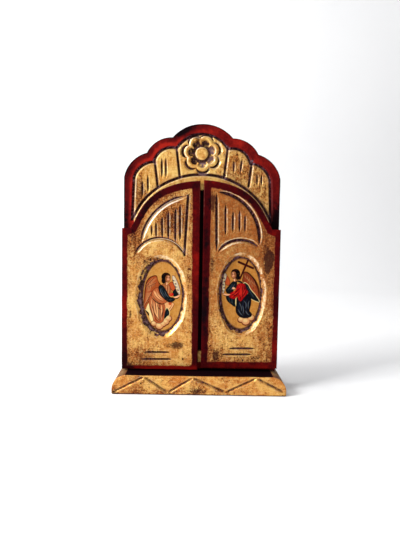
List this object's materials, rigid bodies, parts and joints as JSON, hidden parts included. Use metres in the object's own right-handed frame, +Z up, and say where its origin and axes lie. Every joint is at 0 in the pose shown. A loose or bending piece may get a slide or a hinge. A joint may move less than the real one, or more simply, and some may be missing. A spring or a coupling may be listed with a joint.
{
  "type": "triptych altarpiece",
  "caption": "Small carved and gilded wooden triptych with a scalloped head, an icon niche behind hinged arched doors, and a plinth.",
  "frame": {"origin": "centre of the plinth's underside", "axes": "+Z up, the carved front faces -Y, +X to the viewer's right"},
  "size_m": [0.172, 0.055, 0.2687],
  "materials": {
    "gilt_wood": "worn gold leaf over red bole on carved wood, with dark patina in the cuts",
    "red_wood": "deep red paint with black patina on carved wood",
    "hinge_brass": "dull aged brass"
  },
  "bodies": {
    "case": {"base": "gilt_wood", "back_board": "red_wood", "hinge_left_top_board_leaf": "hinge_brass", "hinge_left_top_pin": "hinge_brass", "hinge_left_bottom_board_leaf": "hinge_brass", "hinge_left_bottom_pin": "hinge_brass", "hinge_right_top_board_leaf": "hinge_brass", "hinge_right_top_pin": "hinge_brass", "hinge_right_bottom_board_leaf": "hinge_brass", "hinge_right_bottom_pin": "hinge_brass"},
    "left_door": {"left_door": "gilt_wood", "hinge_left_top_door_leaf": "hinge_brass", "hinge_left_bottom_door_leaf": "hinge_brass"},
    "right_door": {"right_door": "gilt_wood", "hinge_right_top_door_leaf": "hinge_brass", "hinge_right_bottom_door_leaf": "hinge_brass"}
  },
  "joints": [
    {"name": "left_door_hinge", "type": "hinge", "parent": "case", "child": "left_door", "pos_m": [-0.0795, -0.0009, 0.094], "axis": [0, 0, -1], "range_deg": [0, 175]},
    {"name": "right_door_hinge", "type": "hinge", "parent": "case", "child": "right_door", "pos_m": [0.0795, -0.0009, 0.094], "axis": [0, 0, 1], "range_deg": [0, 175]}
  ]
}
